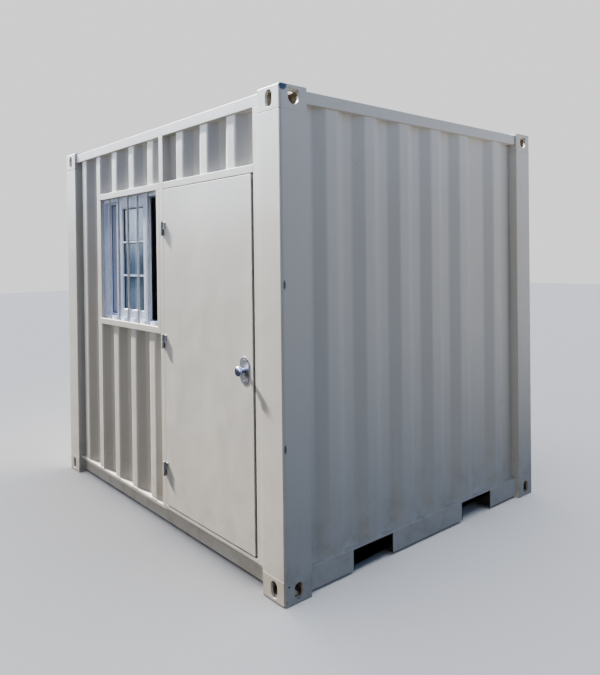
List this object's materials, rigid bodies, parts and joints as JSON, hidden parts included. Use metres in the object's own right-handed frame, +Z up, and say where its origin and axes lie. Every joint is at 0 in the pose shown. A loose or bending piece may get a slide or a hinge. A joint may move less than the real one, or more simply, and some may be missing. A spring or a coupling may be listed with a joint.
{
  "type": "shipping container cabin",
  "caption": "Steel site cabin on a small shipping container frame, with corrugated walls, a hinged door, a barred sliding window and fork pockets.",
  "frame": {"origin": "ground level, under the middle of the four corner castings", "axes": "+X along the long side towards the door's end, the door and window face -Y, +Z up"},
  "size_m": [2.743, 2.174, 2.438],
  "materials": {
    "painted_steel": "warm off-white gloss paint, lightly weathered",
    "underframe_steel": "dull dark primer",
    "plywood": "worn plywood boards",
    "window_aluminium": "pale powder coat",
    "window_glass": "clear glass",
    "galvanised_steel": "galvanised",
    "chrome": "polished"
  },
  "bodies": {
    "cabin": {"bottom_castings": "painted_steel", "top_castings": "painted_steel", "post_front_right": "painted_steel", "post_front_left": "painted_steel", "post_back_right": "painted_steel", "post_back_left": "painted_steel", "top_rail_front": "painted_steel", "top_rail_back": "painted_steel", "top_rail_right": "painted_steel", "top_rail_left": "painted_steel", "bottom_rail_front": "painted_steel", "bottom_rail_back": "painted_steel", "bottom_rail_right": "painted_steel", "bottom_rail_left": "painted_steel", "fork_pocket_front": "underframe_steel", "fork_pocket_back": "underframe_steel", "floor_bearers": "underframe_steel", "floor": "plywood", "end_wall_right": "painted_steel", "end_wall_left": "painted_steel", "back_wall": "painted_steel", "front_wall_left": "painted_steel", "front_wall_below_window": "painted_steel", "front_wall_above_window": "painted_steel", "front_wall_above_door": "painted_steel", "roof": "painted_steel", "window_head": "painted_steel", "door_head": "painted_steel", "window_sill": "painted_steel", "door_post": "painted_steel", "door_jamb": "painted_steel", "window_side_bar": "painted_steel", "window_edge_bar": "painted_steel", "threshold": "painted_steel", "window_frame": "window_aluminium", "sash_fixed": "window_aluminium", "glass_fixed": "window_glass", "sash_sliding": "window_aluminium", "glass_sliding": "window_glass", "guard_bars": "painted_steel", "hinges_on_post": "galvanised_steel"},
    "door": {"door_leaf": "painted_steel", "lock_plates": "chrome", "hinges_on_leaf": "galvanised_steel"},
    "knob": {"door_knob": "chrome"}
  },
  "joints": [
    {"name": "door_swing", "type": "hinge", "parent": "cabin", "child": "door", "pos_m": [0.2035, -1.07, 0.155], "axis": [0, 0, -1], "range_deg": [0, 170]},
    {"name": "knob_turn", "type": "hinge", "parent": "door", "child": "knob", "pos_m": [1.048, -1.059, 1.066], "axis": [0, -1, 0], "range_deg": [-60, 60], "stiffness_Nm_per_rad": 0.5}
  ]
}
